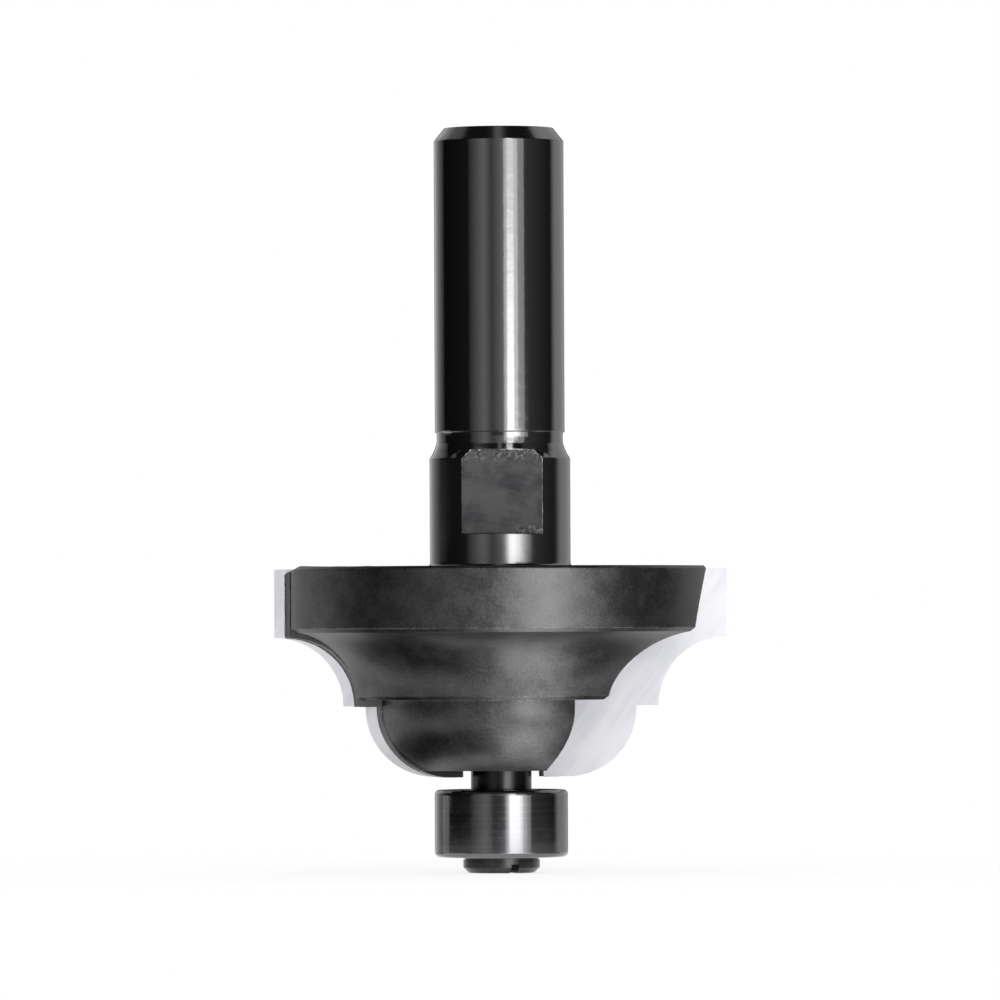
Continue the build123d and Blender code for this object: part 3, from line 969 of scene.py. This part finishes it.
@dataclass
class CarbideTips:
    """The two brazed tips and the lines of braze behind them. All lengths are mm.

    Attributes:
        sizes: Where the tips' seats lie.
        braze_size: Radius of the braze line.
        braze_step: Distance between its sections.
        braze_lump: Length of one of its lumps.
    """

    sizes: BitSizes
    braze_size: float = 0.1
    braze_step: float = 0.16
    braze_lump: float = 1.3

    def build(self) -> None:
        """Dress both tips and run the braze along their seats."""
        carbide = GroundCarbide("ground_tungsten_carbide", "#e3e3e7", 0.42).build()
        braze = RunMetal("silver_braze", "#9a958b", 0.34).build()
        for number, sense in enumerate((1, -1), start=1):
            dress(f"carbide_tip_{number}", carbide)
            seat = rim_of_face(Vector((0.0, -sense, 0.0)), -self.sizes.seat_depth)
            run_bead(f"braze_line_{number}", seat, self.braze_radius, self.braze_step * MM, braze)

    def braze_radius(self, point: Vector) -> float:
        """Give the braze line's radius at a point, a little uneven."""
        even, uneven = 0.75, 0.4
        return self.braze_size * MM * (even + uneven * noise.noise(point / (self.braze_lump * MM)))


@dataclass
class GuideBearing:
    """The sealed ball bearing that guides the cut.

    Attributes:
        balls: How many balls it has.
    """

    balls: int = 7

    def build(self) -> None:
        """Dress the rings, balls, cage, shields and snap rings."""
        # Ground chrome steel rings mirror the room in soft bands with a fine level grain. Its lines
        # are about 0.02 mm apart, and drawn eight times coarser so that they show.
        ring = TurnedSteel("ground_chrome_steel", "#7e7e80", 0.12, Lay.AROUND, 0.16, 0.0001, "#767678")
        ball = LappedSteel("lapped_chrome_steel", "#8c8c8e", 0.05)
        sheet = RolledSteel("pressed_sheet_steel", "#a6a7a9", 0.3)
        for finish, names in (
            (ring, ("bearing_outer_ring", "bearing_inner_ring")),
            (ball, [f"ball_{number}" for number in range(1, self.balls + 1)]),
            (sheet, ("bearing_cage_lower", "bearing_cage_upper", "shield_lower", "shield_upper",
                     "shield_snap_ring_lower", "shield_snap_ring_upper")),
        ):
            material = finish.build()
            for name in names:
                dress(name, material)


@dataclass
class RetainingScrew:
    """The slotted screw and the washer that hold the bearing on."""

    def build(self) -> None:
        """Dress the screw and its washer."""
        # Both are turned and then blackened, so they are dark and satin with rings on their faces.
        dress("retaining_screw", TurnedSteel("blackened_screw_steel", "#4e4e4f", 0.2, Lay.FACED, 0.14, 0.002,
                                             "#39393a").build())
        dress("screw_washer", TurnedSteel("blackened_washer_steel", "#505053", 0.28, Lay.FACED, 0.1, 0.001,
                                          "#4e4e50").build())


# ------------------------------------------------------------------------------------------ studio


def put_up_card(name: str, points: list[tuple], faces: list[tuple], shades: list[float]) -> None:
    """Make a card that glows by its own shades, hidden from the camera and the floor.

    Args:
        name: The card's name.
        points: Its corners, metres.
        faces: Its faces, as numbers of corners.
        shades: What it shows at each corner, where 1 is a white wall.
    """
    mesh = bpy.data.meshes.new(name)
    mesh.from_pydata(points, [], faces)
    mesh.attributes.new("shade", "FLOAT", "POINT").data.foreach_set("value", shades)
    material = bpy.data.materials.new(name)
    tree = bare_tree(material)
    shade = add_node(tree, "ShaderNodeAttribute", attribute_name="shade")
    glow = add_node(tree, "ShaderNodeEmission", links={"Strength": shade.outputs["Fac"]})
    add_node(tree, "ShaderNodeOutputMaterial", links={"Surface": glow.outputs[0]})
    mesh.materials.append(material)
    card = put_up(name, mesh)
    card.visible_camera = False
    card.visible_diffuse = False
    card.visible_shadow = False


@dataclass(frozen=True)
class StripLamp:
    """An upright strip lamp that faces the bit.

    Attributes:
        name: The lamp's name.
        start: Azimuth of its left edge, degrees from the front, positive to the right.
        end: Azimuth of its right edge.
        bottom: Height of the lower end, metres.
        top: Height of the upper end, metres.
        radiance: How bright its face is, where 1 is a white wall.
        distance: Metres from the axis.
    """

    name: str
    start: float
    end: float
    bottom: float
    top: float
    radiance: float
    distance: float = 0.66

    def build(self) -> None:
        """Make the lamp."""
        turn = math.radians((self.start + self.end) / 2)
        across = 2 * self.distance * math.tan(math.radians((self.end - self.start) / 2))
        height = self.top - self.bottom
        lamp = bpy.data.lights.new(self.name, "AREA")
        lamp.shape = "RECTANGLE"
        lamp.size = across
        lamp.size_y = height
        lamp.energy = self.radiance * math.pi * across * height
        stand = put_up(self.name, lamp)
        outward = Vector((math.sin(turn), -math.cos(turn), 0.0))
        stand.location = outward * self.distance + Vector((0.0, 0.0, (self.bottom + self.top) / 2))
        stand.rotation_mode = "QUATERNION"
        stand.rotation_quaternion = outward.to_track_quat("Z", "Y")
        stand.visible_camera = False


@dataclass(frozen=True)
class Card:
    """A curved upright card that shapes what polished metal mirrors, graded from edge to edge.

    Attributes:
        name: The card's name.
        start: Azimuth of its left edge, degrees from the front, positive to the right.
        end: Azimuth of its right edge.
        left: What it shows at its left edge, where 1 is a white wall.
        right: What it shows at its right edge.
        distance: Metres from the axis.
        knee: Height where it turns in towards the bit, metres.
        top: Height of the upper edge, metres.
        carried_under: Whether it goes on over the bench to the bit.
        inner_rows: Distance and height of its rows over the bench, metres.
    """

    name: str
    start: float
    end: float
    left: float
    right: float
    distance: float = 0.7
    knee: float = -0.25
    top: float = 0.6
    carried_under: bool = True
    inner_rows: tuple[tuple[float, float], ...] = ((0.012, 0.0006), (0.11, -0.002))

    def build(self) -> None:
        """Make the card, one column of corners about every 3 degrees."""
        steps = max(2, round((self.end - self.start) / 3))
        rows = ((self.distance, self.knee), (self.distance, self.top))
        if self.carried_under:
            rows = self.inner_rows + rows
        points, shades = [], []
        for number in range(steps + 1):
            turn = math.radians(self.start + (self.end - self.start) * number / steps)
            shade = self.left + (self.right - self.left) * number / steps
            points += [(math.sin(turn) * away, -math.cos(turn) * away, height) for away, height in rows]
            shades += [shade] * len(rows)
        faces = [(corner, corner + len(rows), corner + len(rows) + 1, corner + 1)
                 for corner in range(len(rows) * steps) if (corner + 1) % len(rows)]
        put_up_card(self.name, points, faces, shades)


@dataclass(frozen=True)
class RoofCard:
    """A level card overhead, with a paler strip across its middle and paler corners behind.

    Attributes:
        name: The card's name.
        reach: Half its width, metres.
        height: Its height over the bench, metres.
        drop: How far below it the strip and the corners hang, metres.
        brightness: What it shows, where 1 is a white wall.
        strip_brightness: What the strip shows.
        strip_width: Width of the strip, metres.
        corner_start: How far from the middle the corners start, metres.
        corner_front: How far behind the bit the corners start, metres.
        corner_brightness: What the left and the right corner show.
    """

    name: str = "roof_card"
    reach: float = 0.72
    height: float = 0.62
    drop: float = 0.01
    brightness: float = 0.02
    strip_brightness: float = 0.4
    strip_width: float = 0.09
    corner_start: float = 0.36
    corner_front: float = 0.1
    corner_brightness: tuple[float, float] = (0.3, 0.7)

    def build(self) -> None:
        """Make the card, with the strip and the corners just below it."""
        far, half, inner, front = self.reach, self.strip_width / 2, self.corner_start, self.corner_front
        below = self.height - self.drop
        for name, (left, near, right), height, shade in (
            (self.name, (-far, -far, far), self.height, self.brightness),
            (f"{self.name}_strip", (-half, -far, half), below, self.strip_brightness),
            (f"{self.name}_left", (-far, front, -inner), below, self.corner_brightness[0]),
            (f"{self.name}_right", (inner, front, far), below, self.corner_brightness[1]),
        ):
            points = [(left, near, height), (right, near, height),
                      (right, far, height), (left, far, height)]
            put_up_card(name, points, [(0, 1, 2, 3)], [shade] * 4)


# What an upright mirror shows by azimuth: name, left and right edge in degrees, then for a lamp its
# lower and upper end in metres and its radiance, and for a card what its left and right edge show.
LAMPS = (
    StripLamp("key_strip", 13.5, 26.0, -0.25, 0.066, 4.7),
    *(StripLamp(f"key_strip_top_{number}", 13.9, 26.0, 0.066 + 0.008 * number, 0.074 + 0.008 * number,
                radiance)
      for number, radiance in enumerate((4.4, 3.7, 2.7, 1.6, 1.0))),
    StripLamp("key_strip_high", 13.5, 26.0, 0.106, 0.8, 2.9),
    StripLamp("key_skirt", 26.0, 33.0, -0.25, 0.12, 1.4),
    StripLamp("key_skirt_low", 26.0, 38.0, -0.25, 0.045, 3.1, distance=0.65),
    StripLamp("key_skirt_soft", 38.0, 52.0, -0.25, 0.045, 0.9, distance=0.65),
    StripLamp("key_edge", 8.5, 13.5, -0.25, 0.12, 1.0),
    StripLamp("left_fill_low", -128.0, -98.0, -0.25, -0.03, 2.4),
    StripLamp("left_edge_low", -122.0, -103.0, -0.03, 0.008, 0.5),
)
CARDS = (
    Card("pale_card_far_left", -165.0, -116.0, 1.0, 0.08),
    Card("black_card_left", -116.0, -55.0, 0.01, 0.03),
    Card("grey_card_left", -55.0, -27.0, 0.08, 0.5, carried_under=False),
    Card("grey_card_front", -27.0, -13.0, 0.5, 0.18, carried_under=False),
    Card("dark_card_under_left", -55.0, -13.0, 0.03, 0.2, knee=-0.26, top=-0.255),
    Card("dark_card_front", -13.0, 8.0, 0.18, 0.55),
    Card("dark_card_low", -15.0, 5.0, 0.09, 0.12, distance=0.69, knee=-0.2, top=0.012,
         carried_under=False),
    Card("pale_card_under_key", -2.0, 47.0, 3.0, 2.0, top=-0.24),
    Card("dark_card_right", 45.0, 104.0, 0.14, 0.03),
    Card("edge_card_right", 104.0, 117.0, 0.06, 0.64),
    Card("pale_card_right", 117.0, 165.0, 0.64, 0.56),
    Card("dark_card_behind", 165.0, 195.0, 0.15, 0.15),
    RoofCard(),
)


@dataclass
class Studio:
    """The floor, the white surroundings, the lamps, the cards and the camera. Lengths are metres.

    Attributes:
        floor_solid: Radius within which the floor is fully there.
        floor_end: Radius at which it has melted into the surroundings.
        floor_shadow: How much of its real light and shadow the camera sees; the rest is plain white.
        camera_distance: Distance of the eye from the axis.
        eye_height: Height of the eye.
        view_centre: Height that the camera looks at.
        focal_length: Focal length, mm.
        sensor: Sensor width, mm.
        roll: How far the camera is tilted sideways, degrees.
    """

    floor_solid: float = 0.03
    floor_end: float = 0.10
    floor_shadow: float = 0.16
    camera_distance: float = 0.88
    eye_height: float = 0.0230
    view_centre: float = 0.0344
    focal_length: float = 342.9
    sensor: float = 36.0
    roll: float = -0.25

    def build(self) -> None:
        """Make everything that isn't the bit."""
        self.surroundings()
        self.floor()
        for light in LAMPS + CARDS:
            light.build()
        self.camera()

    def surroundings(self) -> None:
        """Make the world an even white."""
        world = bpy.data.worlds.new("white_surroundings")
        bpy.context.scene.world = world
        tree = bare_tree(world)
        white = add_node(tree, "ShaderNodeBackground", {"Color": (1, 1, 1, 1), "Strength": 1.0})
        add_node(tree, "ShaderNodeOutputWorld", links={"Surface": white.outputs[0]})

    def floor(self) -> None:
        """Make the pale floor, which melts into the white surroundings and keeps a soft shadow."""
        mesh = bpy.data.meshes.new("floor")
        work = bmesh.new()
        bmesh.ops.create_circle(work, cap_ends=True, segments=96, radius=self.floor_end)
        work.to_mesh(mesh)
        work.free()
        floor = put_up("floor", mesh)
        material = bpy.data.materials.new("pale_floor_paint")
        tree = bare_tree(material)
        place = add_node(tree, "ShaderNodeTexCoord")
        away = add_node(tree, "ShaderNodeVectorMath", links={0: place.outputs["Object"]},
                        operation="LENGTH")
        fade = add_node(tree, "ShaderNodeMapRange",
                        {"From Min": self.floor_solid, "From Max": self.floor_end},
                        {"Value": away.outputs["Value"]}, interpolation_type="SMOOTHSTEP")
        paint = add_node(tree, "ShaderNodeBsdfDiffuse", {"Color": linear("#fafafa")})
        white = add_node(tree, "ShaderNodeEmission", {"Strength": 1.0})
        ray = add_node(tree, "ShaderNodeLightPath").outputs
        seen = ray["Is Camera Ray"]
        for other in ("Is Glossy Ray", "Is Transmission Ray"):
            seen = add_node(tree, "ShaderNodeMath", links={0: seen, 1: ray[other]},
                            operation="MAXIMUM").outputs[0]
        lift = add_node(tree, "ShaderNodeMath", {1: 1.0 - self.floor_shadow}, {0: seen},
                        operation="MULTIPLY")
        clear = add_node(tree, "ShaderNodeBsdfTransparent")
        shown = paint
        for share, over in ((lift, white), (fade, clear)):
            shown = add_node(tree, "ShaderNodeMixShader",
                             links={0: share.outputs[0], 1: shown.outputs[0], 2: over.outputs[0]})
        add_node(tree, "ShaderNodeOutputMaterial", links={"Surface": shown.outputs[0]})
        mesh.materials.append(material)

    def camera(self) -> None:
        """Place the camera a long way off, a little below the middle, looking slightly up."""
        data = bpy.data.cameras.new("camera")
        data.lens = self.focal_length
        data.sensor_width = self.sensor
        data.clip_start, data.clip_end = 0.05, 20.0
        camera = put_up("camera", data)
        eye = Vector((0.0, -self.camera_distance, self.eye_height))
        target = Vector((0.0, 0.0, self.view_centre))
        aim = (target - eye).to_track_quat("-Z", "Y").to_matrix().to_4x4()
        tilt = Matrix.Rotation(math.radians(self.roll), 4, "Z")
        camera.matrix_world = Matrix.Translation(eye) @ aim @ tilt
        bpy.context.scene.camera = camera


def main() -> None:
    """Dress the bit, add its small pieces and build the studio round it."""
    logging.basicConfig(level=logging.INFO, format="%(name)s: %(message)s")
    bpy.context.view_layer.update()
    sizes = BitSizes.from_frame()
    for part in (CutterBody(sizes), CarbideTips(sizes), GuideBearing(), RetainingScrew(), Studio()):
        part.build()
        LOG.info("%s done", type(part).__name__)
    bpy.context.scene.view_settings.view_transform = "Standard"


if __name__ == "__main__":
    main()
